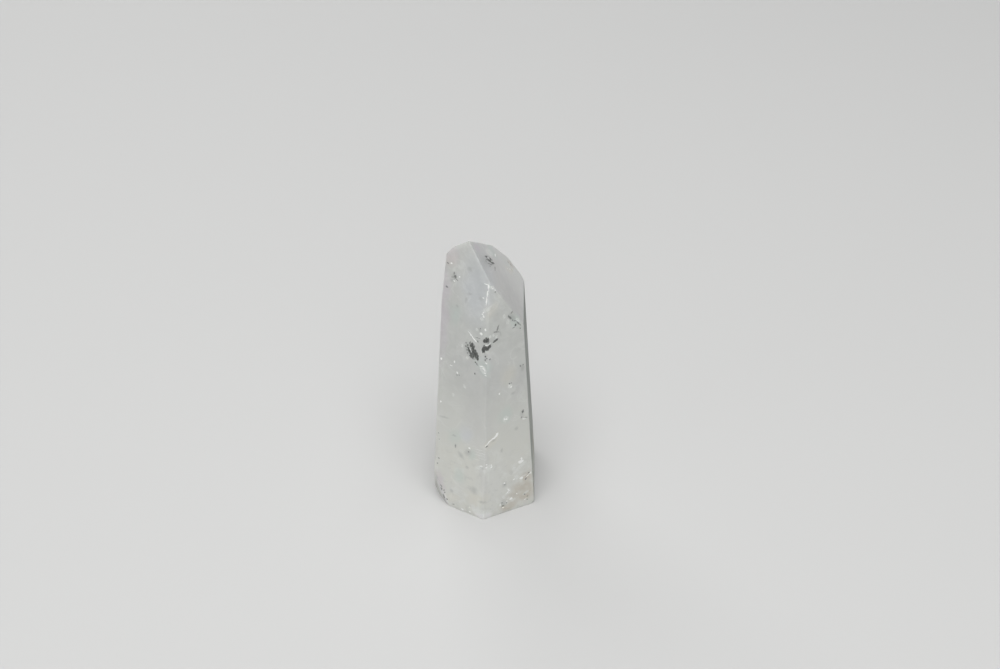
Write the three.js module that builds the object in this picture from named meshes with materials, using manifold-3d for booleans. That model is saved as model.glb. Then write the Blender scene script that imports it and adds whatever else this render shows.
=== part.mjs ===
// Quartz obelisk: one six-sided crystal, ground and polished into a free-standing point.
// Millimetres, +Z up. The front is -Y and the right is +X. The stone is ground about an upright
// axis, and is then moved so that the origin is the middle of its outer box, at the foot's level.

import * as THREE from 'three';
import * as BufferGeometryUtils from 'three/addons/utils/BufferGeometryUtils.js';
import Module from 'manifold-3d';

const wasm = await Module();
wasm.setup();

// Driving dimensions

const roughBlock = { width: 60, depth: 70, height: 130 };
const arris = 0.05; // how deep every polished edge is blunted
const foot = 'foot';

// The crown's corners that its faces pass through.
const crownCorner = {
  summit: [-4.5, -13.0, 115.2],
  ridge: [3.4, 4.7, 101.8],
  shoulder: [10.2, 12.1, 90.5],
  leftShoulder: [-9.8, -10.6, 111.5],
  leftHip: [-12.4, -9.0, 107.5],
};

// facing turns from the front towards the right, in degrees. lean tips a face back from upright.
// reach is how far the face's lower edge lies from the upright axis.
const prismFaces = {
  frontLeft: { facing: -31.9, lean: 4.0, reach: 21.5 },
  frontRight: { facing: 27.1, lean: 2.7, reach: 22.45 },
  right: { facing: 89.1, lean: 3.2, reach: 19.25 },
  backRight: { facing: 151.5, lean: 3.8, reach: 23.8 },
  backLeft: { facing: -150.0, lean: 3.5, reach: 20.5 },
  left: { facing: -91.9, lean: 2.9, reach: 18.55 },
};

// The big slope drops from the summit to the right; the others are small and mostly at the back.
const crownFaces = {
  bigSlope: { facing: 87.9, lean: 28.8, through: 'summit' },
  backSlope: { facing: -161.8, lean: 47.5, through: 'summit' },
  backRightSlope: { facing: 149.9, lean: 43.0, through: 'ridge' },
  backRightPitch: { facing: 160.0, lean: 20.0, through: 'shoulder' },
  leftSlope: { facing: -139.4, lean: 36.8, through: 'leftShoulder' },
  leftPitch: { facing: -99.9, lean: 5.7, through: 'leftHip' },
};

// The foot's front left corner is broken away on two faces below one point of the upright edge.
// They look down a little, so their lean is negative.
const breakTop = [-18.3, -12.8, 14.0];
const brokenFaces = {
  brokenFront: { facing: -63.6, lean: -10.5 },
  brokenSide: { facing: -72.3, lean: -9.7 },
};

// Small shell-shaped chips on upright edges: the edge's two faces, the height and the bite.
const edgeChips = [
  { faces: ['frontLeft', 'left'], height: 99, size: 2.4, bite: 0.28 },
  { faces: ['frontLeft', 'left'], height: 94, size: 1.6, bite: 0.2 },
  { faces: ['frontLeft', 'left'], height: 63.6, size: 2.8, bite: 0.32 },
  { faces: ['frontLeft', 'left'], height: 45, size: 2.4, bite: 0.28 },
  { faces: ['frontLeft', 'left'], height: 29, size: 1.8, bite: 0.22 },
  { faces: ['frontLeft', 'left'], height: 19.5, size: 2.6, bite: 0.3 },
  { faces: ['frontLeft', 'frontRight'], height: 8, size: 2.4, bite: 0.22 },
  { faces: ['frontLeft', 'frontRight'], height: 71, size: 2.0, bite: 0.18 },
  { faces: ['frontRight', 'right'], height: 80, size: 2.2, bite: 0.26 },
  { faces: ['frontRight', 'right'], height: 59, size: 2.0, bite: 0.24 },
  { faces: ['frontRight', 'right'], height: 40.2, size: 3.2, bite: 0.36 },
  { faces: ['frontRight', 'right'], height: 14.6, size: 3.0, bite: 0.34 },
  { faces: ['right', 'backRight'], height: 63, size: 3.0, bite: 0.4 },
  { faces: ['right', 'backRight'], height: 24, size: 4.6, bite: 0.6 },
  { faces: ['backRight', 'backLeft'], height: 82, size: 2.8, bite: 0.35 },
  { faces: ['backRight', 'backLeft'], height: 49, size: 5.2, bite: 0.7 },
  { faces: ['backRight', 'backLeft'], height: 15, size: 3.0, bite: 0.4 },
  { faces: ['backLeft', 'left'], height: 70, size: 3.6, bite: 0.45 },
  { faces: ['backLeft', 'left'], height: 38, size: 2.6, bite: 0.35 },
  { faces: ['frontLeft', 'leftSlope'], height: 109.4, size: 1.7, bite: 0.2 },
  { faces: ['bigSlope', 'frontRight'], height: 88, size: 2.0, bite: 0.2 },
  { faces: ['bigSlope', 'frontLeft'], height: 101.6, size: 1.8, bite: 0.18 },
  { faces: ['bigSlope', 'backSlope'], height: 106, size: 2.6, bite: 0.3 },
  { faces: ['bigSlope', 'backRightSlope'], height: 96.2, size: 2.4, bite: 0.26 },
  { faces: ['bigSlope', 'backRightPitch'], height: 89.4, size: 2.2, bite: 0.3 },
  { faces: ['backSlope', 'backRightSlope'], height: 99, size: 3.0, bite: 0.4 },
  { faces: ['backSlope', 'leftSlope'], height: 104, size: 2.6, bite: 0.35 },
];

// Chips along the foot's rim, placed by the face above them and by how far right they are.
const rimChips = [
  { face: 'frontLeft', across: -11.3, size: 1.8, bite: 0.2 },
  { face: 'frontLeft', across: -7.9, size: 1.6, bite: 0.18 },
  { face: 'frontLeft', across: -5.1, size: 1.3, bite: 0.15 },
  { face: 'frontRight', across: 6.6, size: 2.2, bite: 0.26 },
  { face: 'frontRight', across: 13.8, size: 1.6, bite: 0.18 },
  { face: 'backRight', across: 15.0, size: 4.2, bite: 0.6 },
  { face: 'backRight', across: 7.0, size: 2.6, bite: 0.4 },
  { face: 'backLeft', across: -6.5, size: 5.0, bite: 0.7 },
  { face: 'backLeft', across: -14.0, size: 2.8, bite: 0.4 },
];

// Knocked corners: the three faces that meet there.
const cornerChips = [
  { faces: ['frontRight', 'right', foot], size: 4.0, bite: 0.75 },
  { faces: ['right', 'backRight', foot], size: 4.4, bite: 0.9 },
  { faces: ['backRight', 'backLeft', foot], size: 3.6, bite: 0.7 },
  { faces: ['backLeft', 'left', foot], size: 5.0, bite: 1.1 },
  { faces: ['bigSlope', 'backRightSlope', 'backRightPitch'], size: 5.6, bite: 0.5 },
];

// Open pits that the polish didn't take out: a face, how far right, the height and the radius.
// On the faces that run front to back, across is measured along Y instead.
const pits = [
  { face: 'bigSlope', across: -5.5, height: 104.0, along: 'y', radius: 0.5 },
  { face: 'bigSlope', across: -5.2, height: 101.8, along: 'y', radius: 0.6 },
  { face: 'bigSlope', across: -4.4, height: 100.2, along: 'y', radius: 0.45 },
  { face: 'bigSlope', across: 8.2, height: 88.9, along: 'y', radius: 0.35 },
  { face: 'frontLeft', across: -9.3, height: 99.4, along: 'x', radius: 0.6 },
  { face: 'frontLeft', across: -12.4, height: 94.1, along: 'x', radius: 0.4 },
  { face: 'frontLeft', across: -2.8, height: 62.5, along: 'x', radius: 0.35 },
  { face: 'frontLeft', across: -9.2, height: 59.2, along: 'x', radius: 0.3 },
  { face: 'frontLeft', across: -5.0, height: 3.3, along: 'x', radius: 0.45 },
  { face: 'frontRight', across: 11.5, height: 81.7, along: 'x', radius: 0.55 },
  { face: 'frontRight', across: 9.4, height: 85.4, along: 'x', radius: 0.4 },
  { face: 'frontRight', across: 9.5, height: 57.0, along: 'x', radius: 0.45 },
  { face: 'frontRight', across: 14.3, height: 43.2, along: 'x', radius: 0.5 },
  { face: 'frontRight', across: 1.2, height: 32.8, along: 'x', radius: 0.35 },
  { face: 'frontRight', across: 7.3, height: 3.1, along: 'x', radius: 0.6 },
  { face: 'frontRight', across: 16.1, height: 3.8, along: 'x', radius: 0.45 },
  { face: 'backLeft', across: -8.0, height: 58.0, along: 'x', radius: 0.6 },
  { face: 'backLeft', across: -12.5, height: 21.0, along: 'x', radius: 0.45 },
  { face: 'backRight', across: 9.0, height: 36.0, along: 'x', radius: 0.5 },
  { face: 'backRight', across: 13.0, height: 71.0, along: 'x', radius: 0.4 },
  { face: 'right', across: 4.0, height: 52.0, along: 'y', radius: 0.5 },
  { face: 'left', across: 2.0, height: 27.0, along: 'y', radius: 0.55 },
];

// Overlapping shell-shaped breaks that roughen the broken corner: place on it, radius and bite.
const cornerBreaks = [
  { at: [-16.4, -14.4, 5.0], radius: 3.4, bite: 0.5 },
  { at: [-17.5, -13.2, 9.0], radius: 2.8, bite: 0.4 },
  { at: [-14.6, -15.6, 1.8], radius: 2.6, bite: 0.35 },
  { at: [-17.4, -8.6, 2.0], radius: 2.6, bite: 0.4 },
  { at: [-18.2, -10.4, 7.0], radius: 3.0, bite: 0.35 },
  { at: [-16.4, -11.4, 1.4], radius: 2.0, bite: 0.3 },
];

// Geometry helpers

const radians = THREE.MathUtils.degToRad;
const upright = new THREE.Vector3(0, 0, 1);
const goldenAngle = radians(137.5);

// A face's outward direction from the way it looks and how far it leans back.
function outwardOf(facing, lean) {
  const level = Math.cos(radians(lean));
  const sideways = Math.sin(radians(facing)) * level;
  const forwards = Math.cos(radians(facing)) * level;
  return new THREE.Vector3(sideways, -forwards, Math.sin(radians(lean)));
}

// A face's plane through a point on it.
function planeThrough(outward, point) {
  return new THREE.Plane().setFromNormalAndCoplanarPoint(outward, point);
}

// Every flat face of the stone, by name.
function makePlanes() {
  const planes = {};
  for (const [name, face] of Object.entries(prismFaces)) {
    const lowerEdge = outwardOf(face.facing, 0).multiplyScalar(face.reach);
    planes[name] = planeThrough(outwardOf(face.facing, face.lean), lowerEdge);
  }
  for (const [name, face] of Object.entries(crownFaces)) {
    const corner = new THREE.Vector3(...crownCorner[face.through]);
    planes[name] = planeThrough(outwardOf(face.facing, face.lean), corner);
  }
  for (const [name, face] of Object.entries(brokenFaces)) {
    const corner = new THREE.Vector3(...breakTop);
    planes[name] = planeThrough(outwardOf(face.facing, face.lean), corner);
  }
  planes[foot] = planeThrough(new THREE.Vector3(0, 0, -1), new THREE.Vector3());
  return planes;
}

// The one point where three planes meet.
function meetingPoint(a, b, c) {
  const bc = b.normal.clone().cross(c.normal);
  const ca = c.normal.clone().cross(a.normal);
  const ab = a.normal.clone().cross(b.normal);
  const volume = a.normal.dot(bc);
  bc.multiplyScalar(-a.constant);
  ca.multiplyScalar(-b.constant);
  ab.multiplyScalar(-c.constant);
  return bc.add(ca).add(ab).divideScalar(volume);
}

// A plane square to an axis, at a place along it.
function crossPlane(axis, place) {
  const outward = new THREE.Vector3();
  outward[axis] = 1;
  return new THREE.Plane(outward, -place);
}

// The plane that blunts the edge between two faces.
function arrisPlane(a, b, depth) {
  const sum = a.normal.clone().add(b.normal);
  const length = sum.length();
  return new THREE.Plane(sum.divideScalar(length), (a.constant + b.constant) / length + depth);
}

// Solids

function toSolid(geometry) {
  geometry.deleteAttribute('normal');
  geometry.deleteAttribute('uv');
  const merged = BufferGeometryUtils.mergeVertices(geometry, 1e-5);
  const vertProperties = new Float32Array(merged.attributes.position.array);
  const triVerts = new Uint32Array(merged.index.array);
  return new wasm.Manifold(new wasm.Mesh({ numProp: 3, vertProperties, triVerts }));
}

function toGeometry(solid) {
  const { vertProperties, triVerts } = solid.getMesh();
  const geometry = new THREE.BufferGeometry();
  geometry.setAttribute('position', new THREE.BufferAttribute(vertProperties, 3));
  geometry.setIndex(new THREE.BufferAttribute(triVerts, 1));
  geometry.computeVertexNormals();
  return geometry;
}

// The uncut block, standing on the foot's level.
function makeRoughBlock() {
  const { width, depth, height } = roughBlock;
  const geometry = new THREE.BoxGeometry(width, depth, height);
  geometry.translate(0, 0, height / 2);
  return toSolid(geometry);
}

// Grinds away everything outside a plane.
function grind(stone, plane) {
  const reach = roughBlock.height * 2;
  const geometry = new THREE.BoxGeometry(reach, reach, reach);
  geometry.translate(0, 0, reach / 2);
  geometry.applyQuaternion(new THREE.Quaternion().setFromUnitVectors(upright, plane.normal));
  const onPlane = plane.coplanarPoint(new THREE.Vector3());
  geometry.translate(onPlane.x, onPlane.y, onPlane.z);
  return stone.subtract(toSolid(geometry));
}

// A rounded lump whose skin dips below a point of the surface by the bite. One way across it is
// stretched, and the turn varies from lump to lump.
function breakingLump({ at, outward, radius, bite, stretch, turn }) {
  const geometry = new THREE.IcosahedronGeometry(radius, 2);
  geometry.rotateZ(turn);
  geometry.rotateX(turn * 0.7);
  geometry.scale(stretch, 1, 1);
  geometry.rotateZ(turn * 1.3);
  geometry.applyQuaternion(new THREE.Quaternion().setFromUnitVectors(upright, outward));
  const middle = at.clone().addScaledVector(outward, radius - bite);
  geometry.translate(middle.x, middle.y, middle.z);
  return toSolid(geometry);
}

// The radius of a lump that leaves a chip of this size when it bites this deep.
function chipRadius({ size, bite }) {
  return (size * size / 4 + bite * bite) / (2 * bite);
}

// Every chip as a place, a direction, a radius and a bite.
function listChips(planes) {
  const chips = [];
  const addChip = (chip, at, outward) => {
    chips.push({ at, outward: outward.normalize(), radius: chipRadius(chip), bite: chip.bite });
  };
  for (const chip of edgeChips) {
    const [a, b] = chip.faces.map((name) => planes[name]);
    const at = meetingPoint(a, b, crossPlane('z', chip.height));
    addChip(chip, at, a.normal.clone().add(b.normal));
  }
  for (const chip of rimChips) {
    const face = planes[chip.face];
    const at = meetingPoint(face, planes[foot], crossPlane('x', chip.across));
    addChip(chip, at, face.normal.clone().add(planes[foot].normal));
  }
  for (const chip of cornerChips) {
    const [a, b, c] = chip.faces.map((name) => planes[name]);
    addChip(chip, meetingPoint(a, b, c), a.normal.clone().add(b.normal).add(c.normal));
  }
  return chips;
}

// The breaks that roughen the broken corner, which bite along its own direction.
function listCornerBreaks(planes) {
  const outward = planes.brokenFront.normal.clone().add(planes.brokenSide.normal).normalize();
  const place = ({ at, radius, bite }) => {
    const guess = new THREE.Vector3(...at);
    const onBreak = planes.brokenFront.projectPoint(guess, new THREE.Vector3());
    return { at: onBreak, outward, radius, bite };
  };
  return cornerBreaks.map(place);
}

// Small round-bottomed pits, half sunk in their faces.
function listPits(planes) {
  const place = ({ face, across, height, along, radius }) => {
    const plane = planes[face];
    const at = meetingPoint(plane, crossPlane(along, across), crossPlane('z', height));
    return { at, outward: plane.normal, radius, bite: radius * 0.9 };
  };
  return pits.map(place);
}

// The stone: a block ground on every face, its edges blunted, then chipped.
function makeStone() {
  const planes = makePlanes();
  const faces = Object.values(planes);
  let stone = makeRoughBlock();
  for (const plane of faces) stone = grind(stone, plane);
  faces.forEach((a, first) => {
    faces.slice(first + 1).forEach((b) => {
      const opposite = a.normal.dot(b.normal) < -0.5;
      if (!opposite) stone = grind(stone, arrisPlane(a, b, arris));
    });
  });
  const bites = [...listChips(planes), ...listCornerBreaks(planes), ...listPits(planes)];
  bites.forEach((bite, index) => {
    const stretch = 1 + 0.3 * Math.sin(index * goldenAngle);
    stone = stone.subtract(breakingLump({ ...bite, stretch, turn: index * goldenAngle }));
  });
  return stone;
}

function quartzMaterial() {
  return new THREE.MeshStandardMaterial({ color: 0xb6b8b4, roughness: 0.18, metalness: 0 });
}

// Stands the stone with the middle of its outer box over the origin.
function centreOverOrigin(geometry) {
  geometry.computeBoundingBox();
  const middle = geometry.boundingBox.getCenter(new THREE.Vector3());
  geometry.translate(-middle.x, -middle.y, -geometry.boundingBox.min.z);
  return geometry;
}

const stoneGeometry = centreOverOrigin(toGeometry(makeStone()));
const quartzObelisk = new THREE.Mesh(stoneGeometry, quartzMaterial());
quartzObelisk.name = 'quartz_obelisk';

const group = new THREE.Group();
group.add(quartzObelisk);

export default group;
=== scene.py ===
import math

import bmesh
import bpy
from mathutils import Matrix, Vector
from mathutils.bvhtree import BVHTree


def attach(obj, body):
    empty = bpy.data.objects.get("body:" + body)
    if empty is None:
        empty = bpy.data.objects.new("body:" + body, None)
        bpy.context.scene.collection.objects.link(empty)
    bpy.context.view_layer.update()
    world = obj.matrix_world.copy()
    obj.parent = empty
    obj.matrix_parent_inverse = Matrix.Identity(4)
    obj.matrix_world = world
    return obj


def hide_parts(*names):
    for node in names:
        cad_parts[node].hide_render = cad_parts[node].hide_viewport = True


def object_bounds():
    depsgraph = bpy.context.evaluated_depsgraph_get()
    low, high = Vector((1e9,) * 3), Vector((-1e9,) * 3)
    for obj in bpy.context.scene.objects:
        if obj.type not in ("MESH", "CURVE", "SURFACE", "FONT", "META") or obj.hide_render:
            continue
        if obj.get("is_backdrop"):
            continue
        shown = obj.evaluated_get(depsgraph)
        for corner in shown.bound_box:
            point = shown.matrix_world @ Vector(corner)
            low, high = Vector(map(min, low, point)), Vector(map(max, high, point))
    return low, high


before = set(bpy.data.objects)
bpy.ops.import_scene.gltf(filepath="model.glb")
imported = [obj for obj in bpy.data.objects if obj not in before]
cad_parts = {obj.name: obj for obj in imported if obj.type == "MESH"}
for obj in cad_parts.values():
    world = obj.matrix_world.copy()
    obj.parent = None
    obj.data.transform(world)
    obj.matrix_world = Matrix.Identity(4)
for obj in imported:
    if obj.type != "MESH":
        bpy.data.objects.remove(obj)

millimetre = 0.001
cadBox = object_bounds()
scene = bpy.context.scene


# helpers for materials

class Wire:  # wraps a socket, so that shader maths can be written as an expression
    def __init__(self, graph, socket):
        self.graph = graph
        self.socket = socket

    def maths(self, operation, first, second):
        return self.graph.node("ShaderNodeMath", {"operation": operation}, {0: first, 1: second})

    def __add__(self, other):
        return self.maths("ADD", self, other)

    def __radd__(self, other):
        return self.maths("ADD", other, self)

    def __sub__(self, other):
        return self.maths("SUBTRACT", self, other)

    def __rsub__(self, other):
        return self.maths("SUBTRACT", other, self)

    def __mul__(self, other):
        return self.maths("MULTIPLY", self, other)

    def __rmul__(self, other):
        return self.maths("MULTIPLY", other, self)

    def __abs__(self):
        return self.maths("ABSOLUTE", self, 0.0)

    def orMore(self, other):
        return self.maths("MAXIMUM", self, other)


class Graph:  # one material's nodes
    def __init__(self, name):
        self.material = bpy.data.materials.new(name)
        self.material.use_nodes = True
        self.tree = self.material.node_tree
        self.tree.nodes.clear()

    def node(self, kind, settings=None, values=None, output=0):
        made = self.tree.nodes.new(kind)
        for setting, value in (settings or {}).items():
            setattr(made, setting, value)
        for place, value in (values or {}).items():
            if isinstance(value, Wire):
                self.tree.links.new(value.socket, made.inputs[place])
            else:
                made.inputs[place].default_value = value
        return Wire(self, made.outputs[output]) if made.outputs else None

    def fade(self, value, start, end):  # 0 at start, 1 at end, eased at both
        return self.node("ShaderNodeMapRange", {"interpolation_type": "SMOOTHSTEP"}, {
            "Value": value, "From Min": start, "From Max": end,
        })

    def noise(self, point, scale, detail, roughness, twist=0.0, output=0):
        return self.node("ShaderNodeTexNoise", None, {
            "Vector": point, "Scale": scale, "Detail": detail, "Roughness": roughness, "Distortion": twist,
        }, output)

    def vector(self, operation, first, second=None, scale=None, output=0):
        values = {0: first}
        if second is not None:
            values[1] = second
        if scale is not None:
            values["Scale"] = scale
        return self.node("ShaderNodeVectorMath", {"operation": operation}, values, output)

    def blend(self, factor, below, above):  # one colour over another
        return self.node("ShaderNodeMix", {"data_type": "RGBA"}, {0: factor, 6: below, 7: above}, 2)

    def finish(self, surface, volume=None):
        sockets = {"Surface": surface}
        if volume is not None:
            sockets["Volume"] = volume
        self.node("ShaderNodeOutputMaterial", None, sockets)
        return self.material


def colour(red, green, blue):
    return (red, green, blue, 1.0)


# camera and light

cameraLook = {
    "elevation": 35.5,
    "lens": 70.0,
    "sensor": 36.0,
    "distance": 702.0,  # millimetres, as the aim is
    "aim": (5.735, -2.655, 68.4),
    "farthest": 20.0,  # metres
}


def makeCamera(look):
    data = bpy.data.cameras.new("camera")
    data.lens = look["lens"]
    data.sensor_width = look["sensor"]
    data.clip_end = look["farthest"]
    camera = bpy.data.objects.new("camera", data)
    scene.collection.objects.link(camera)
    tilt = math.radians(look["elevation"])
    back = Vector((0.0, -math.cos(tilt), math.sin(tilt)))
    camera.location = (Vector(look["aim"]) + back * look["distance"]) * millimetre
    camera.rotation_euler = (math.pi / 2 - tilt, 0.0, 0.0)
    scene.camera = camera


# azimuth turns from the front towards the right; distance and size are in metres
lightLook = {
    "key": {"azimuth": 1.0, "elevation": 58.0, "distance": 1.8, "size": 1.6, "watts": 18.2},
    "fill": {"azimuth": 0.0, "elevation": 16.0, "distance": 2.2, "size": 1.2, "watts": 7.1},
    "top": {"azimuth": 0.0, "elevation": 82.0, "distance": 1.8, "size": 1.6, "watts": 32.5},
    "side": {"azimuth": -58.0, "elevation": 9.0, "distance": 2.2, "size": 1.2, "watts": 4.2},
    "back": {"azimuth": 205.0, "elevation": 28.0, "distance": 2.2, "size": 1.6, "watts": 17.0},
}


def makeLight(name, look):
    data = bpy.data.lights.new(name, "AREA")
    data.energy = look["watts"]
    data.size = look["size"]
    light = bpy.data.objects.new(name, data)
    scene.collection.objects.link(light)
    turn = math.radians(look["azimuth"])
    rise = math.radians(look["elevation"])
    level = math.cos(rise)
    towards = Vector((math.sin(turn) * level, -math.cos(turn) * level, math.sin(rise)))
    light.location = towards * look["distance"]
    light.rotation_euler = towards.to_track_quat("Z", "Y").to_euler()


floorLook = {"size": 12.0, "colour": colour(0.44, 0.44, 0.435), "roughness": 0.75}


def makeFloor(look):
    mesh = bpy.data.meshes.new("floor")
    shape = bmesh.new()
    bmesh.ops.create_grid(shape, x_segments=1, y_segments=1, size=look["size"] / 2)
    shape.to_mesh(mesh)
    shape.free()
    floor = bpy.data.objects.new("floor", mesh)
    scene.collection.objects.link(floor)
    graph = Graph("pale floor")
    surface = graph.node("ShaderNodeBsdfPrincipled", None, {
        "Base Color": look["colour"],
        "Roughness": look["roughness"],
    })
    mesh.materials.append(graph.finish(surface))
    floor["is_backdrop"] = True


roomLook = {"colour": colour(0.92, 0.94, 0.96), "strength": 0.14}


def makeRoom(look):
    room = bpy.data.worlds.new("room")
    room.use_nodes = True
    background = room.node_tree.nodes["Background"]
    background.inputs["Color"].default_value = look["colour"]
    background.inputs["Strength"].default_value = look["strength"]
    scene.world = room


makeCamera(cameraLook)
for name, look in lightLook.items():
    makeLight(name, look)
makeFloor(floorLook)
makeRoom(roomLook)
scene.view_settings.view_transform = "Standard"
print("camera and light are in")


# the stone's shape

stoneLook = {
    "weld": 0.001,  # millimetres
    "flat": 0.5,  # degrees: facets that meet flatter than this are one face
    "soft": 38.0,  # degrees: edges blunter than this are shaded round
}


def makeStone(look):
    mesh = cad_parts["quartz_obelisk"].data.copy()
    mesh.materials.clear()
    shape = bmesh.new()
    shape.from_mesh(mesh)
    bmesh.ops.remove_doubles(shape, verts=shape.verts, dist=look["weld"] * millimetre)
    flat = math.radians(look["flat"])
    bmesh.ops.dissolve_limit(shape, angle_limit=flat, verts=shape.verts, edges=shape.edges)
    soft = math.radians(look["soft"])
    for face in shape.faces:
        face.smooth = True
    for edge in shape.edges:
        edge.smooth = edge.calc_face_angle(math.pi) < soft
    surface = BVHTree.FromBMesh(shape)
    shape.to_mesh(mesh)
    shape.free()
    stone = bpy.data.objects.new("quartz_stone", mesh)
    scene.collection.objects.link(stone)
    shading = stone.modifiers.new("edges shaded round", "WEIGHTED_NORMAL")
    shading.keep_sharp = True
    return stone, surface


# the stone's markings
# Each is a small ellipsoid laid where a line drawn straight at the stone from its side meets the skin:
# millimetres across and up, half its length, half its width, and degrees that its top leans right.

sides = {"front": 0.0, "right": 90.0, "back": 180.0, "left": -90.0}  # degrees round from the front

markLook = {
    "depth": 1.5,  # millimetres that a mark reaches into the stone, or its length if that is more
    "rim": 1.3,  # how far a mark's faded rim lies beyond its size
    "outside": 100.0,  # millimetres from the middle, where the line to the skin starts
}

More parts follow.
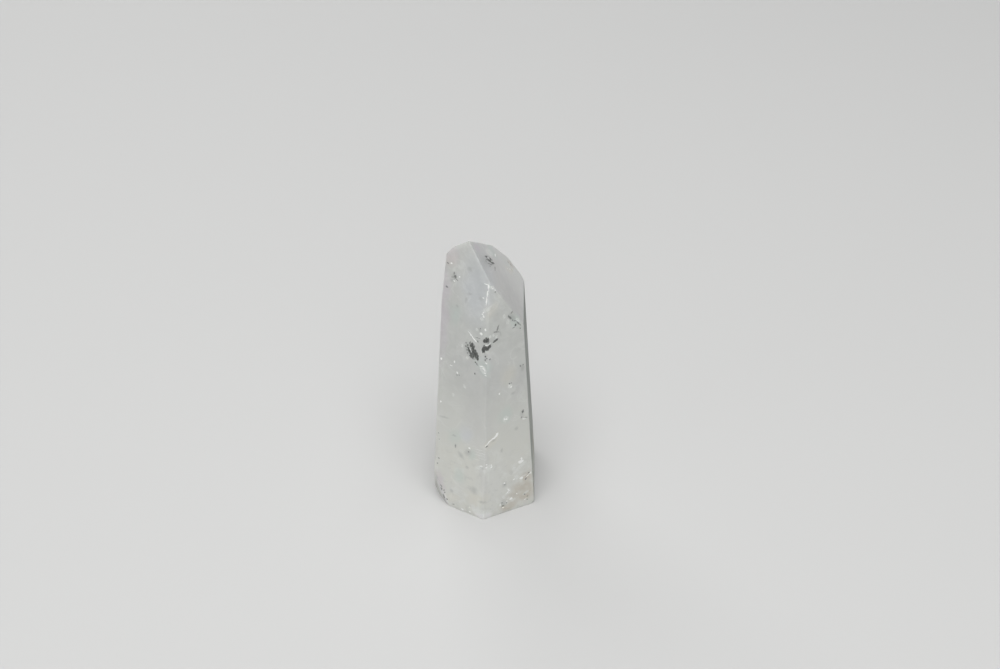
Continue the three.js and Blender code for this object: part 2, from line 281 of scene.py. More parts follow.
marks = {
    "window": [  # clear places, tinted near-black as painted dark reflection
        ("front", -4.0, 73.7, 1.9, 0.85, -25),
        ("front", -3.1, 71.0, 2.5, 1.0, -20),
        ("front", -3.6, 72.3, 1.5, 0.85, -20),
        ("front", -4.0, 69.8, 1.5, 0.9, -15),
        ("front", -5.1, 71.2, 1.5, 0.42, -25),
        ("front", -4.6, 69.2, 0.9, 0.5, -10),
        ("front", -3.0, 67.4, 0.6, 0.24, 0),
        ("front", 0.0, 73.9, 2.0, 0.68, 8),
        ("front", 0.9, 74.4, 0.9, 0.5, 30),
        ("front", 1.7, 75.2, 1.5, 0.75, 44),
        ("front", 1.3, 78.3, 1.4, 0.66, -12),
        ("front", 0.6, 77.7, 1.1, 0.6, 45),
        ("front", 4.2, 77.3, 1.0, 0.42, 55),
        ("front", 11.1, 81.2, 0.34, 0.32, 0),
        ("front", 0.6, 71.3, 0.30, 0.24, 0),
        ("front", 1.0, 70.6, 0.30, 0.20, 0),
        ("front", 0.5, 69.8, 0.34, 0.22, 0),
        ("right", -6.7, 102.9, 1.6, 0.46, -43),
        ("right", -5.0, 102.4, 0.7, 0.5, -50),
        ("right", -5.4, 100.9, 1.1, 0.38, -46),
        ("right", -7.3, 105.0, 0.8, 0.34, -57),
        ("right", -4.0, 34.0, 1.8, 0.5, -25),
        ("right", -3.2, 31.6, 0.9, 0.35, 15),
        ("right", -4.8, 36.4, 0.6, 0.3, 40),
        ("back", 5.0, 66.0, 1.9, 0.6, 30),
        ("back", 6.2, 68.4, 0.8, 0.4, 50),
        ("back", 4.0, 63.6, 0.7, 0.3, 0),
        ("back", -6.8, 37.0, 1.2, 0.4, -35),
        ("left", 3.0, 48.0, 1.5, 0.45, 20),
        ("left", 2.2, 50.6, 0.7, 0.3, -30),
    ],
    "speck": [  # dark inclusions and open pits
        ("front", -9.9, 99.2, 0.7, 0.42, 20),
        ("front", -10.2, 100.6, 0.6, 0.2, 10),
        ("front", -9.2, 98.3, 0.6, 0.22, -50),
        ("front", -10.8, 98.9, 0.5, 0.2, 80),
        ("front", -12.4, 103.7, 0.35, 0.3, 0),
        ("front", -13.0, 94.1, 0.5, 0.28, 0),
        ("front", -12.6, 94.0, 0.35, 0.25, 0),
        ("front", 4.9, 82.1, 1.6, 0.30, 13),
        ("front", 4.4, 80.8, 1.3, 0.24, -71),
        ("front", -1.1, 82.0, 0.35, 0.25, 30),
        ("front", -2.1, 76.3, 0.5, 0.34, 0),
        ("front", -2.0, 77.8, 0.9, 0.18, 80),
        ("front", -2.4, 66.8, 0.7, 0.2, -25),
        ("front", -5.7, 73.3, 0.5, 0.36, 20),
        ("front", -6.3, 74.1, 0.36, 0.3, 0),
        ("front", -5.4, 72.2, 0.5, 0.34, 10),
        ("front", -5.0, 74.3, 0.4, 0.3, 0),
        ("front", -6.4, 72.6, 0.36, 0.3, 0),
        ("front", -6.0, 71.3, 0.4, 0.3, -20),
        ("front", -5.8, 70.0, 0.34, 0.28, 0),
        ("front", 0.8, 77.8, 1.1, 0.8, 30),
        ("front", 2.2, 70.2, 0.4, 0.3, 0),
        ("front", -3.2, 62.5, 0.42, 0.28, 0),
        ("front", -9.7, 59.1, 0.3, 0.24, 0),
        ("front", -8.9, 59.4, 0.3, 0.2, 0),
        ("front", 9.9, 87.0, 0.5, 0.28, 30),
        ("front", 9.1, 85.2, 1.2, 0.34, -32),
        ("front", 10.2, 83.7, 0.5, 0.24, 0),
        ("front", 11.0, 83.2, 0.5, 0.24, 90),
        ("front", 12.3, 81.5, 1.5, 0.24, -36),
        ("front", 11.1, 81.2, 0.5, 0.44, 20),
        ("front", 10.6, 80.4, 0.6, 0.16, 90),
        ("front", 12.9, 79.4, 0.3, 0.24, 0),
        ("front", 13.1, 63.4, 0.5, 0.25, 0),
        ("front", 14.1, 63.6, 0.3, 0.25, 0),
        ("front", 9.1, 57.0, 0.42, 0.38, 0),
        ("front", 9.9, 57.2, 0.28, 0.22, 0),
        ("front", 14.2, 43.9, 0.4, 0.2, 30),
        ("front", 13.9, 43.1, 0.6, 0.34, 10),
        ("front", 13.5, 40.8, 0.35, 0.3, 0),
        ("front", 15.1, 40.3, 0.7, 0.2, 90),
        ("front", 0.8, 32.8, 0.6, 0.32, 40),
        ("front", -5.8, 28.0, 0.3, 0.28, 0),
        ("front", -10.7, 28.1, 0.8, 0.13, 0),
        ("front", -16.8, 31.1, 0.28, 0.2, 0),
        ("front", -16.6, 28.4, 0.3, 0.22, 0),
        ("front", -16.9, 19.9, 0.32, 0.24, 0),
        ("front", -17.5, 17.2, 0.4, 0.26, 0),
        ("front", -11.7, 1.5, 0.6, 0.2, 80),
        ("front", 6.7, 2.9, 0.5, 0.3, 70),
        ("front", 6.5, 4.9, 0.35, 0.25, 0),
        ("front", 8.2, 4.2, 0.35, 0.25, 0),
        ("front", 7.4, 12.9, 0.32, 0.24, 0),
        ("front", 14.9, 5.5, 0.4, 0.3, -40),
        ("front", 15.8, 4.0, 0.5, 0.2, 80),
        ("front", 15.9, 2.6, 0.4, 0.18, 90),
        ("front", 16.3, 14.9, 0.4, 0.3, 30),
        ("front", 15.4, 12.4, 0.5, 0.4, 40),
        ("right", -7.2, 105.1, 1.5, 0.36, -57),
        ("right", -7.2, 103.9, 0.9, 0.36, -30),
        ("right", -6.9, 103.1, 2.0, 0.56, -43),
        ("right", -5.0, 102.5, 0.9, 0.66, -50),
        ("right", -5.0, 100.9, 1.9, 0.42, -46),
        ("right", -7.6, 101.9, 1.5, 0.22, -50),
        ("right", -9.9, 104.9, 0.5, 0.26, 60),
        ("right", -8.9, 103.3, 1.0, 0.26, -50),
        ("right", -8.3, 104.6, 0.8, 0.24, -55),
        ("right", -6.1, 101.6, 0.9, 0.28, -50),
        ("right", -4.4, 101.8, 0.8, 0.26, -50),
        ("right", -5.8, 104.1, 0.8, 0.26, -50),
        ("right", -9.3, 102.4, 0.7, 0.24, -50),
        ("right", -6.6, 99.5, 1.3, 0.26, 90),
        ("front", 4.2, 97.2, 0.3, 0.22, 0),
        ("right", 8.9, 92.1, 0.4, 0.22, 0),
        ("right", 9.9, 90.2, 0.45, 0.28, 0),
        ("front", -16.3, 7.6, 0.5, 0.35, -30),
        ("front", -16.1, 5.0, 0.7, 0.4, -30),
        ("front", -15.0, 5.2, 0.35, 0.3, 0),
        ("front", -15.4, 3.0, 0.6, 0.45, 0),
        ("front", -16.0, 6.3, 0.4, 0.3, 0),
        ("front", -15.2, 6.2, 0.3, 0.22, 0),
        ("left", 13.6, 4.8, 0.4, 0.3, 0),
        ("front", -14.2, 2.6, 0.35, 0.3, 0),
        ("left", 14.4, 1.9, 0.6, 0.4, 0),
    ],
    "glint": [  # cracks inside, painted bright as the light they reflect: painted highlights
        ("front", 1.15, 100.6, 0.75, 0.20, 85),
        ("front", 1.75, 99.6, 1.2, 0.24, 0),
        ("front", 1.45, 97.2, 1.4, 0.20, 6),
        ("front", 1.05, 94.0, 1.9, 0.16, 6),
        ("front", -0.1, 94.7, 0.28, 0.25, 0),
        ("front", 2.6, 99.9, 0.42, 0.15, -50),
        ("front", 3.3, 98.9, 0.36, 0.14, -40),
        ("front", 4.0, 98.0, 0.25, 0.18, 0),
        ("right", 6.4, 90.8, 0.35, 0.26, 0),
        ("right", 7.8, 91.2, 0.26, 0.22, 0),
        ("right", 4.6, 92.2, 0.5, 0.16, -40),
        ("right", 9.2, 90.8, 0.26, 0.22, 0),
        ("front", -0.1, 88.9, 0.3, 0.25, 0),
        ("front", -0.4, 88.1, 0.32, 0.3, 0),
        ("front", 0.0, 87.3, 0.4, 0.28, -20),
        ("front", -0.9, 80.0, 0.62, 0.55, 0),
        ("front", 0.6, 82.2, 0.5, 0.36, 20),
        ("front", 1.55, 76.45, 1.4, 0.16, 54),
        ("right", 1.6, 99.9, 0.26, 1.0, 0),
        ("front", -3.9, 77.4, 2.7, 0.17, -42),
        ("front", -3.3, 76.6, 1.0, 0.28, -42),
        ("front", -4.5, 71.6, 0.7, 0.14, -18),
        ("front", -0.7, 66.6, 1.0, 0.2, 85),
        ("front", 0.1, 65.6, 0.65, 0.22, -40),
        ("front", 0.4, 64.3, 0.5, 0.2, 90),
        ("front", 0.5, 63.4, 0.4, 0.18, 90),
        ("front", 0.9, 68.6, 0.36, 0.3, 0),
        ("front", -10.5, 64.3, 0.5, 0.26, 0),
        ("front", -11.8, 62.3, 0.6, 0.2, 90),
        ("front", -15.3, 63.6, 0.5, 0.35, 0),
        ("front", -9.5, 60.2, 0.4, 0.3, 0),
        ("front", 9.8, 55.6, 0.4, 0.24, 0),
        ("front", 5.6, 54.2, 0.42, 0.24, 0),
        ("front", -15.8, 45.1, 0.5, 0.32, 0),
        ("front", 7.4, 42.4, 0.32, 0.28, 0),
        ("front", 8.1, 42.2, 0.32, 0.28, 0),
        ("front", 14.5, 40.0, 0.55, 0.22, 90),
        ("front", 8.9, 9.9, 0.9, 0.24, -42),
        ("front", 8.5, 8.8, 0.7, 0.2, 50),
        ("front", 10.9, 13.9, 0.4, 0.22, 60),
        ("front", 8.4, 4.9, 0.3, 0.22, 0),
        ("front", 15.0, 3.0, 0.4, 0.2, 70),
        ("front", 12.0, 7.0, 0.3, 0.22, 0),
        ("front", 4.4, 36.4, 1.3, 0.46, 35),
        ("front", 3.2, 35.35, 0.9, 0.38, 70),
        ("front", 1.8, 34.4, 1.3, 0.34, 42),
        ("front", 0.6, 33.2, 0.5, 0.20, 42),
        ("front", -5.4, 29.5, 0.42, 0.38, 0),
        ("front", -1.2, 23.7, 0.7, 0.22, 80),
        ("front", 0.8, 23.5, 0.4, 0.36, 0),
        ("front", 0.8, 24.8, 0.28, 0.26, 0),
        ("front", 2.6, 22.8, 0.42, 0.36, 0),
        ("front", 2.6, 23.7, 0.32, 0.26, 0),
        ("front", 13.7, 22.3, 0.5, 0.38, 0),
        ("front", 13.5, 21.1, 1.15, 0.70, 86),
        ("front", 7.4, 13.7, 0.36, 0.32, 0),
        ("front", 9.8, 5.5, 0.64, 0.56, 30),
        ("front", 5.8, 4.1, 0.5, 0.24, 0),
        ("front", -5.5, 1.1, 0.4, 0.3, 90),
        ("front", 13.7, 13.4, 0.68, 0.6, 0),
        ("front", 17.1, 14.6, 0.4, 0.3, 0),
        ("front", 16.1, 13.8, 1.2, 0.17, 40),
        ("front", -8.4, 99.8, 0.34, 0.3, 0),
        ("front", -10.3, 97.4, 0.32, 0.28, 0),
        ("front", -11.1, 104.1, 0.4, 0.34, 0),
        ("left", 12.0, 6.8, 0.7, 0.6, 0),
        ("front", -8.3, 0.8, 0.4, 0.3, 0),
        ("right", 4.0, 60.0, 3.2, 0.20, -20),
        ("right", -6.0, 16.0, 1.6, 0.20, 30),
        ("right", 0.0, 45.0, 0.5, 0.4, 0),
        ("back", 4.5, 84.0, 3.4, 0.20, 25),
        ("back", 5.8, 80.5, 1.6, 0.20, -35),
        ("back", -3.0, 22.0, 2.8, 0.22, 50),
        ("back", -8.0, 56.0, 0.5, 0.4, 0),
        ("left", -4.0, 70.0, 2.8, 0.20, 15),
        ("left", 5.0, 22.0, 1.8, 0.20, -40),
        ("left", 0.0, 88.0, 0.5, 0.4, 0),
    ],
    "pale": [  # soft white milkiness
        ("front", 1.3, 90.6, 2.2, 0.7, 45),
        ("front", -0.6, 86.1, 0.7, 0.6, 0),
        ("front", 7.3, 86.3, 0.9, 0.5, 0),
        ("front", 3.1, 99.3, 1.0, 0.6, -50),
        ("front", 8.5, 83.6, 1.0, 0.5, 0),
        ("front", 12.0, 83.2, 1.1, 0.6, -30),
        ("front", -2.4, 81.1, 0.6, 0.5, 0),
        ("front", 2.3, 79.5, 0.6, 0.4, 20),
        ("front", 3.4, 79.7, 0.7, 0.35, -10),
        ("front", 4.5, 78.8, 0.7, 0.4, 0),
        ("front", -7.6, 72.3, 0.8, 0.5, 0),
        ("front", -5.9, 68.1, 0.6, 0.5, 0),
        ("front", -0.2, 65.4, 1.8, 1.2, -20),
        ("front", 9.4, 56.0, 0.9, 0.8, 0),
        ("front", -11.2, 50.2, 0.7, 0.5, 0),
        ("front", -7.0, 55.5, 0.9, 0.5, -30),
        ("front", 7.7, 42.4, 1.3, 1.1, 0),
        ("front", -2.0, 22.6, 2.0, 0.7, 50),
        ("front", 1.6, 22.9, 1.5, 1.2, 0),
        ("front", 0.2, 21.6, 0.9, 0.7, 0),
        ("front", 12.9, 18.6, 3.4, 0.8, 50),
        ("front", 10.8, 19.0, 0.8, 0.7, 0),
        ("front", 11.8, 14.8, 0.9, 0.7, 0),
        ("front", 8.9, 10.2, 1.6, 0.5, -42),
        ("front", 8.0, 8.3, 1.8, 0.55, 55),
        ("front", 8.9, 6.0, 0.7, 0.5, 0),
        ("front", 9.1, 8.8, 0.7, 0.5, 20),
        ("front", 7.0, 7.2, 0.9, 0.4, -30),
        ("front", 10.6, 4.6, 1.2, 0.6, 70),
        ("front", 15.4, 6.0, 1.6, 0.5, 60),
        ("front", 12.0, 14.3, 0.8, 0.6, 0),
        ("front", 14.6, 14.2, 1.2, 0.5, 70),
        ("front", -1.9, 30.5, 2.0, 0.17, 82),
        ("front", -1.2, 29.3, 2.4, 0.17, 86),
        ("front", -2.0, 28.2, 2.2, 0.16, 80),
        ("front", -0.6, 27.0, 1.8, 0.16, 88),
        ("front", -2.6, 25.9, 1.4, 0.16, 84),
        # painted light along the lit bottom tip
        ("front", -1.4, 2.6, 4.0, 1.5, 88),
        ("right", -2.3, 103.4, 3.4, 1.4, -50),
    ],
    "dim": [  # soft grey shade
        ("front", -4.6, 104.2, 1.1, 1.0, 0),
        ("front", -10.0, 99.5, 1.8, 1.3, 20),
        ("front", -11.0, 97.5, 0.9, 0.7, 30),
        ("front", -6.1, 91.4, 1.5, 0.7, 15),
        ("front", -4.9, 94.4, 1.3, 0.6, 65),
        ("front", -1.0, 94.0, 1.1, 0.9, 20),
        ("front", -9.3, 87.8, 0.8, 0.6, 0),
        ("front", 10.0, 84.8, 2.6, 1.2, -30),
        ("front", -1.5, 81.3, 1.1, 0.7, -20),
        ("front", 5.9, 80.0, 1.9, 0.25, -10),
        ("front", -5.4, 72.2, 3.6, 1.7, -12),
        ("front", 0.9, 76.2, 2.6, 2.2, 20),
        ("front", 0.7, 70.8, 1.8, 0.7, 0),
        ("front", 10.4, 52.6, 1.0, 0.7, 70),
        ("front", 13.8, 62.4, 1.8, 0.9, 0),
        ("front", 13.8, 42.2, 2.2, 0.9, 0),
        ("front", 3.4, 34.5, 1.1, 0.6, 60),
        ("front", 11.7, 36.6, 0.9, 0.8, 0),
        ("front", 6.4, 28.9, 1.1, 0.6, 0),
        ("front", -10.6, 28.2, 1.3, 0.5, 0),
        ("front", -14.7, 38.9, 2.4, 0.5, 80),
        ("front", -11.1, 32.5, 1.1, 0.5, 80),
        ("front", -6.0, 27.4, 2.2, 1.4, 40),
        ("front", -8.6, 25.0, 2.0, 0.9, -40),
        ("front", -6.4, 20.7, 0.8, 0.7, 0),
        ("front", -0.9, 22.9, 0.9, 0.5, 85),
        ("front", -12.4, 7.4, 1.0, 0.8, 0),
        ("front", -3.9, 11.6, 2.0, 1.7, 0),
        ("front", 7.4, 13.0, 1.4, 1.0, 0),
        ("front", -1.0, 7.6, 1.6, 0.7, 80),
        ("front", 7.0, 4.4, 2.0, 1.3, 0),
        ("right", -10.0, 104.6, 6.0, 2.6, -55),
        ("right", -6.5, 102.6, 3.0, 2.4, -50),
        ("right", -9.2, 103.1, 2.4, 0.6, -53),
        ("right", -6.3, 101.2, 2.0, 0.7, -53),
        ("right", -5.2, 103.6, 1.8, 0.7, -55),
    ],
    "shade": [  # broad faint grey; along the front edge it is painted shade that hides the edge's lit line
        ("front", -1.0, 62.5, 15.0, 12.0, 0),
        ("front", -3.4, 56.5, 8.0, 6.5, 0),
        ("front", -2.4, 44.0, 18.0, 6.5, 0),
        ("front", -0.4, 22.0, 20.0, 1.6, 0),
        ("front", 12.0, 56.0, 8.0, 3.0, 0),
        ("back", 2.0, 84.0, 14.0, 8.0, 0),
        ("left", 0.0, 40.0, 14.0, 8.0, 0),
    ],
    "haze": [  # painted light: a broad faint white on the lower front right, near the front edge
        ("front", 3.2, 13.0, 15.0, 4.0, 0),
    ],
    "rust": [  # iron stain in the surface
        ("front", 16.0, 12.6, 3.4, 2.6, 10),
        ("front", 13.0, 7.0, 6.0, 5.0, 60),
        ("front", 9.0, 2.2, 4.4, 1.8, 80),
        ("front", 14.6, 4.2, 4.0, 2.6, 75),
        ("front", 15.6, 8.4, 5.0, 3.0, 10),
        ("right", 9.4, 90.4, 2.6, 1.4, 0),
        ("right", 7.4, 89.0, 0.7, 0.6, 0),
        ("right", -12.0, 9.0, 7.0, 4.0, 30),
        ("right", 8.0, 8.0, 6.0, 5.0, 60),
        ("back", 8.0, 5.0, 6.0, 4.0, 70),
    ],
    "teal": [  # cool clear tint
        ("front", -0.2, 66.0, 4.4, 3.2, -15),
        ("front", 7.8, 44.0, 4.2, 3.2, 0),
        ("front", 11.4, 83.4, 3.4, 2.2, -40),
        ("front", -10.7, 32.5, 4.2, 3.0, 20),
        ("front", -9.6, 15.6, 4.2, 3.0, 0),
        ("front", -4.4, 27.0, 3.0, 2.0, 20),
        ("front", -9.8, 84.0, 4.6, 3.0, 0),
        ("right", 1.5, 103.0, 3.0, 1.8, -50),
        ("right", 0.4, 101.6, 4.6, 2.2, -50),
        ("back", -4.0, 32.0, 6.0, 4.0, 20),
        ("left", 0.0, 60.0, 7.0, 3.5, 0),
    ],
    "mauve": [  # faint violet tint
        ("front", -14.4, 84.0, 22.0, 2.4, 4),
        ("front", -11.0, 107.0, 4.6, 2.8, 30),
        ("front", -16.6, 9.5, 5.0, 1.8, -10),
        ("right", -9.8, 110.4, 4.0, 1.8, -60),
        ("back", 6.0, 92.0, 9.0, 4.0, -10),
    ],
    "blue": [  # cold tint of thin scattering
        ("front", -2.2, 97.0, 16.0, 6.4, 5),
        ("front", -6.6, 35.0, 5.0, 3.0, 10),
        ("back", 3.0, 50.0, 12.0, 5.0, 10),
        ("left", 0.0, 90.0, 10.0, 4.0, 0),
    ],
    "cream": [  # warm tint
        ("front", 2.4, 34.0, 4.6, 2.0, 45),
        ("front", 2.8, 89.7, 4.4, 2.4, 20),
        ("front", 8.4, 60.3, 4.4, 3.0, 0),
        ("front", -3.0, 8.4, 5.4, 3.4, 70),
        ("front", -11.0, 106.0, 4.0, 2.6, 30),
        ("front", -12.2, 4.6, 3.4, 2.6, 60),
        ("right", 5.6, 91.0, 4.6, 1.6, -40),
    ],
    "chalk": [  # sugary white where a corner has broken away, and painted light along the lit bottom tip
        ("front", -15.8, 3.6, 4.2, 1.4, -30),
        ("left", 12.8, 6.6, 4.0, 2.2, -15),
        # painted light along the lit bottom tip
        ("front", -0.4, 1.3, 3.6, 1.2, 88),
    ],
}


def placeMark(surface, side, across, up):
    turn = math.radians(sides[side])
    outward = Vector((math.sin(turn), -math.cos(turn), 0.0))
    along = Vector((math.cos(turn), math.sin(turn), 0.0))
    start = along * across + outward * markLook["outside"] + Vector((0.0, 0.0, up))
    place = surface.ray_cast(start * millimetre, -outward)[0]
    return place / millimetre


# How deep each point lies in the marks of a kind: 1 at the middle of one, 0 from its rim outwards.
def insideMarks(graph, surface, kind, point):
    deepest = None
    for side, across, up, length, width, lean in marks[kind]:
        local = graph.node("ShaderNodeMapping", {"vector_type": "TEXTURE"}, {
            "Vector": point,
            "Location": placeMark(surface, side, across, up),
            "Rotation": (0.0, math.radians(lean), math.radians(sides[side])),
            "Scale": Vector((width, max(markLook["depth"], length), length)) * markLook["rim"],
        })
        inside = graph.node("ShaderNodeTexGradient", {"gradient_type": "SPHERICAL"}, {
            "Vector": local,
        }, "Fac")
        deepest = inside if deepest is None else deepest.orMore(inside)
    return deepest


# the stone's finish

quartzLook = {
    "crown": colour(0.515, 0.526, 0.505),
    "foot": colour(0.706, 0.708, 0.654),
    "milk": colour(0.665, 0.672, 0.645),
    "pale": colour(0.80, 0.815, 0.79),
    # the glints' colour: painted highlight
    "glint": colour(0.97, 0.98, 0.96),
    "dim": colour(0.30, 0.315, 0.30),
    "speck": colour(0.05, 0.055, 0.05),
    "rust": colour(0.46, 0.37, 0.26),
    "teal": colour(0.47, 0.60, 0.55),
    "mauve": colour(0.57, 0.485, 0.575),
    "shade": colour(0.47, 0.465, 0.48),
    "blue": colour(0.60, 0.65, 0.76),
    "cream": colour(0.75, 0.70, 0.58),
    "chalk": colour(0.88, 0.865, 0.87),
    # the clear places' near-black tint: painted dark reflection
    "window": colour(0.07, 0.075, 0.07),

    # the broad tints, in the order they go on: the marks' kind, then a colour above and its cover
    "tints": {
        "shade": ("shade", 0.22),
        "haze": ("pale", 0.25),
        "teal": ("teal", 0.25),
        "blue": ("blue", 0.22),
        "mauve": ("mauve", 0.34),
        "cream": ("cream", 0.22),
    },
    # how much each look covers what lies under it
    "cover": {
        "milk": 0.6,
        "wisp": 0.25,
        "patch": 0.36,
        "hollow": 0.16,
        "crown patches": 0.45,  # the share of both that the crown has
        "slope violet": 0.13,
        "slope white": 0.35,
        "slope grey": 0.13,
        "chalk": 0.7,
        "rust": 0.48,
        "dim": 0.36,
        "pale": 0.3,
        "sugar": 0.4,  # more of the pale, in grains
        "speck": 0.64,
        "crumb": 0.42,  # what crumbling takes off the depth in a clear place
        "streak": 0.34,  # what streaks take off a clear place
        # how far the dull right-hand face is greyed: painted shade
        "dull": 0.80,
        "veil": 0.35,  # what veils take off the painted shade of the dull face
        "dull foot": 0.6,  # the share of its painted shade that the foot keeps
    },
    "milk parts": {"cloud": 0.55, "mottle": 0.37, "grain": 0.08},

    # the noises: waves in each millimetre, detail, roughness and twist
    "noise": {
        "jitter": (1.1, 3.0, 0.65),
        "drift": (0.16, 2.0, 0.5),
        "cloud": (0.05, 4.0, 0.55, 0.4),
        "mottle": (0.28, 4.0, 0.6, 0.6),
        "grain": (2.2, 3.0, 0.6),
        "wisp": (0.11, 3.0, 0.55, 0.8),
        "sugar": (2.3, 2.0, 0.6),
        "patch": (0.36, 2.0, 0.6),
        "crumb": (1.9, 3.0, 0.7),
        "streak": (2.6, 2.0, 0.6),
        "veil": (0.12, 3.0, 0.5, 0.4),
    },
    "jitter": 1.1,  # millimetres that the rims of small marks stray
    "drift": 5.0,  # and those of large ones
    "wisp edge": 9.0,  # a larger number makes thinner wisps
    "crumb grain": (1.0, 1.0, 0.4),  # below 1 draws the crumbling in a clear place out upwards
    "veil grain": (1.0, 1.0, 0.35),  # and the veils of the dull, shaded face

    # where a look starts and where it is full, as parts of a noise
    "wisp fade": (0.55, 1.0),
    "wisp cloud": (0.42, 0.62),
    "milk fade": (0.34, 0.64),
    "sugar fade": (0.42, 0.56),
    "patch fade": (0.54, 0.68),
    "hollow fade": (0.43, 0.30),
    "rust mottle": (0.1, 0.7),
    "crumb fade": (0.36, 0.58),
    "streak fade": (0.50, 0.60),
    "veil fade": (0.40, 0.75),
    # as depths in a mark
    "tint fade": (0.0, 0.8),
    "chalk fade": (0.0, 0.5),
    "rust fade": (0.0, 0.7),
    "dim fade": (0.0, 0.9),
    "pale fade": (0.0, 0.5),
    "speck fade": (0.10, 0.44),
    "glint fade": (0.10, 0.40),
    "window fade": (0.04, 0.20),
    # as millimetres up
    "crown height": (12.0, 72.0),
    "low patches": (36.0, 14.0),
    "high patches": (74.0, 92.0),
    "dullAndShaded height": (9.0, 17.0),
    # as millimetres back from the middle
    "slope white depth": (-7.0, 5.0),
    "slope grey depth": (-3.0, -12.0),
    "strewn depth": (-9.0, -6.0),

    # two flat faces with looks of their own: which way they face, and millimetres from the origin
    "dull facing": (0.9983, -0.0157, 0.0558),  # the right-hand face, hardly polished and greyed as painted shade
    "dull reach": 18.81,
    "slope facing": (0.8757, -0.0321, 0.4818),  # the large facet of the crown
    "slope reach": 51.62,
    "face rim": (0.15, 0.03),  # how far below such a face its look starts, and is full

    # specks, and glints as painted highlights, strewn over the sides and the back: cells in each
    # millimetre, and their size
    "strewn specks": (0.115, 0.085),
    "strewn glints": (0.142, 0.085),
    "strewn middle": 0.6,  # how much of such a mark has its full colour

    # the polish, the dull face and the clear places
    "polish roughness": 0.28,
    "mottle roughness": 0.08,  # added to the polish, as the next is
    "speck roughness": 0.2,
    "dull roughness": 0.8,
    "dull shine": 0.1,
    "window roughness": 0.08,
    "relief": 0.12,
    "relief depth": 0.0001,  # metres, as the glow depth is
    "grain relief": 0.5,
    "speck relief": 1.5,
    "refraction": 1.544,
    "clearness": 0.22,
    "glow": 0.6,
    "glow spread": (1.0, 1.0, 1.0),
    "glow depth": 0.0025,
    "absorbed": colour(0.80, 0.84, 0.81),
    "absorption": 12.0,
}


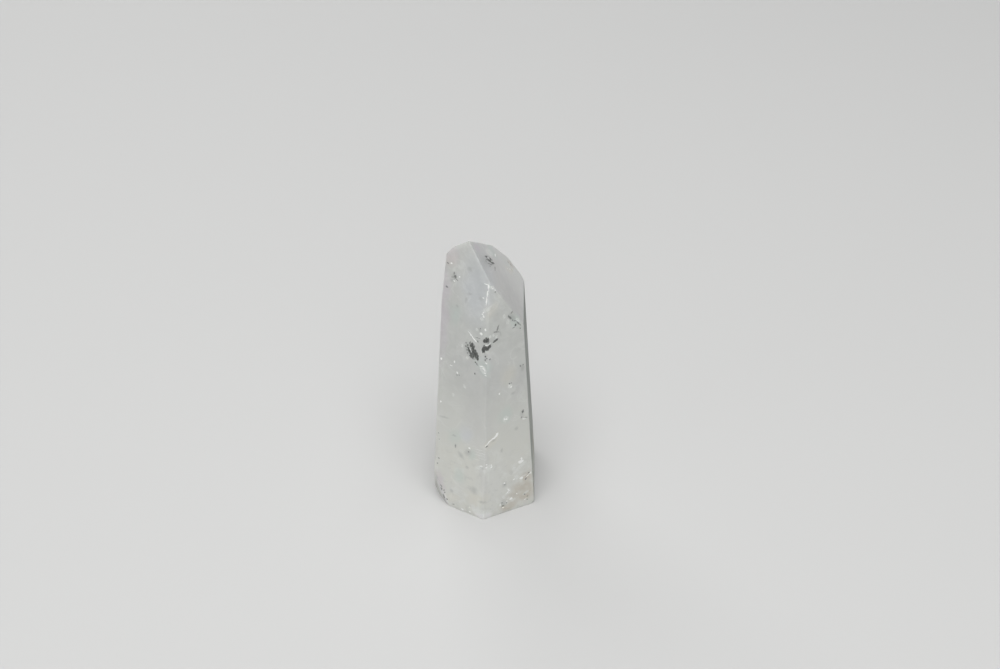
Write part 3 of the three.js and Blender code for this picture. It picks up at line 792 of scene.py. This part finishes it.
def quartzMaterial(look, surface):
    graph = Graph("milky quartz")
    place = graph.node("ShaderNodeTexCoord", output="Object")
    point = graph.vector("SCALE", place, scale=1.0 / millimetre)
    cover = look["cover"]
    middle = 0.5  # of every noise

    def noise(name, coordinates, output=0):
        return graph.noise(coordinates, *look["noise"][name], output=output)

    def fade(name, value):
        return graph.fade(value, *look[name])

    def stray(name):  # the points, each moved a little way by a noise
        offset = graph.vector("SUBTRACT", noise(name, point, "Color"), (middle, middle, middle))
        return graph.vector("ADD", point, graph.vector("SCALE", offset, scale=look[name]))

    def onFace(name):  # 1 on one flat face, 0 elsewhere
        across = graph.vector("DOT_PRODUCT", point, look[name + " facing"], output="Value")
        return graph.fade(across, *(look[name + " reach"] - below for below in look["face rim"]))

    ragged = stray("jitter")
    drifted = stray("drift")
    height = graph.node("ShaderNodeSeparateXYZ", None, {"Vector": drifted}, "Z")
    depth = graph.node("ShaderNodeSeparateXYZ", None, {"Vector": point}, "Y")
    slope = onFace("slope")
    dull = onFace("dull")

    # the milky body: clouds, a fine grain and thin wisps
    cloud = noise("cloud", point)
    mottle = noise("mottle", point)
    grain = noise("grain", point)
    ridge = 1.0 - abs(noise("wisp", drifted) - middle) * look["wisp edge"]
    wisp = fade("wisp fade", ridge) * fade("wisp cloud", cloud)
    parts = look["milk parts"]
    milk = fade("milk fade", cloud * parts["cloud"] + mottle * parts["mottle"] + grain * parts["grain"])
    body = graph.blend(fade("crown height", height), look["foot"], look["crown"])
    body = graph.blend(milk * cover["milk"], body, look["milk"])
    body = graph.blend(wisp * cover["wisp"], body, look["pale"])

    # light and dark patches: the middle of the stone has none
    patch = noise("patch", ragged)
    busy = fade("low patches", height) + fade("high patches", height) * cover["crown patches"]
    body = graph.blend(fade("patch fade", patch) * busy * cover["patch"], body, look["pale"])
    body = graph.blend(fade("hollow fade", patch) * busy * cover["hollow"], body, look["dim"])

    # the large slope: faintly violet, whiter at the back and greyer at the front
    body = graph.blend(slope * cover["slope violet"], body, look["mauve"])
    body = graph.blend(slope * fade("slope white depth", depth) * cover["slope white"], body, look["pale"])
    body = graph.blend(slope * fade("slope grey depth", depth) * cover["slope grey"], body, look["dim"])

    # the marks that colour the milk
    def mask(kind, coordinates, rim, crumbled=None):
        inside = insideMarks(graph, surface, kind, coordinates)
        if crumbled is not None:
            inside = inside - crumbled
        return fade(rim, inside)

    for kind, (tint, share) in look["tints"].items():
        body = graph.blend(mask(kind, drifted, "tint fade") * share, body, look[tint])
    # sugary white on the broken corner, and painted light on the bottom tip
    body = graph.blend(mask("chalk", ragged, "chalk fade") * cover["chalk"], body, look["chalk"])
    rust = mask("rust", drifted, "rust fade") * fade("rust mottle", mottle)
    body = graph.blend(rust * cover["rust"], body, look["rust"])
    body = graph.blend(mask("dim", ragged, "dim fade") * cover["dim"], body, look["dim"])
    sugar = cover["pale"] + fade("sugar fade", noise("sugar", point)) * cover["sugar"]
    body = graph.blend(mask("pale", ragged, "pale fade") * sugar, body, look["pale"])

    # specks, and glints as painted highlights, and more of them strewn over the faces that turn away from
    # the front
    away = fade("strewn depth", depth) * (1.0 - slope)

    def strewn(name):
        scale, size = look[name]
        cell = graph.node("ShaderNodeTexVoronoi", None, {"Vector": ragged, "Scale": scale}, "Distance")
        return graph.fade(cell, size, size * look["strewn middle"]) * away

    speck = mask("speck", ragged, "speck fade").orMore(strewn("strewn specks"))
    body = graph.blend(speck * cover["speck"], body, look["speck"])
    glint = mask("glint", ragged, "glint fade").orMore(strewn("strewn glints"))
    body = graph.blend(glint, body, look["glint"])

    # the clear places, whose near-black tint is painted dark reflection: crumbling rims, and pale streaks
    # within
    drawn = graph.vector("MULTIPLY", point, look["crumb grain"])
    crumb = (1.0 - fade("crumb fade", noise("crumb", drawn))) * cover["crumb"]
    window = mask("window", ragged, "window fade", crumb)
    window = window * (1.0 - fade("streak fade", noise("streak", drawn)) * cover["streak"])

    # the dull face, greyed as painted shade, with upright veils, and less so at the foot
    veil = fade("veil fade", noise("veil", graph.vector("MULTIPLY", drifted, look["veil grain"])))
    atFoot = cover["dull foot"]
    kept = atFoot + fade("dullAndShaded height", height) * (1.0 - atFoot)
    body = graph.blend(dull * ((cover["dull"] - veil * cover["veil"]) * kept), body, look["dim"])

    # the shaders
    skin = {
        "Base Color": body,
        "Subsurface Weight": look["glow"],
        "Subsurface Radius": look["glow spread"],
        "Subsurface Scale": look["glow depth"],
        "Normal": graph.node("ShaderNodeBump", None, {
            "Strength": look["relief"],
            "Distance": look["relief depth"],
            "Height": grain * look["grain relief"] + mottle - speck * look["speck relief"],
        }),
    }
    polished = graph.node("ShaderNodeBsdfPrincipled", {"subsurface_method": "BURLEY"}, {
        **skin,
        "Roughness": look["polish roughness"] + mottle * look["mottle roughness"]
        + speck * look["speck roughness"],
        "IOR": look["refraction"],
        "Transmission Weight": look["clearness"],
    })
    matte = graph.node("ShaderNodeBsdfPrincipled", {"subsurface_method": "BURLEY"}, {
        **skin,
        "Roughness": look["dull roughness"],
        "Specular IOR Level": look["dull shine"],
    })
    # clear glass tinted near-black: painted dark reflection in the clear places
    clear = graph.node("ShaderNodeBsdfPrincipled", None, {
        "Base Color": look["window"],
        "Roughness": look["window roughness"],
        "IOR": look["refraction"],
        "Transmission Weight": 1.0,
    })
    milky = graph.node("ShaderNodeMixShader", None, {0: dull, 1: polished, 2: matte})
    outside = graph.node("ShaderNodeMixShader", None, {0: window, 1: milky, 2: clear})
    inside = graph.node("ShaderNodeVolumeAbsorption", None, {
        "Color": look["absorbed"],
        "Density": look["absorption"],
    })
    return graph.finish(outside, inside)


stone, surface = makeStone(stoneLook)
print("stone is in")
stone.data.materials.append(quartzMaterial(quartzLook, surface))
print("finish is on")
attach(stone, "root")
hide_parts("quartz_obelisk")

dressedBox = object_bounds()
boxes = {"cad": cadBox, "visual": dressedBox}
{name: [list(corner) for corner in box] for name, box in boxes.items()}
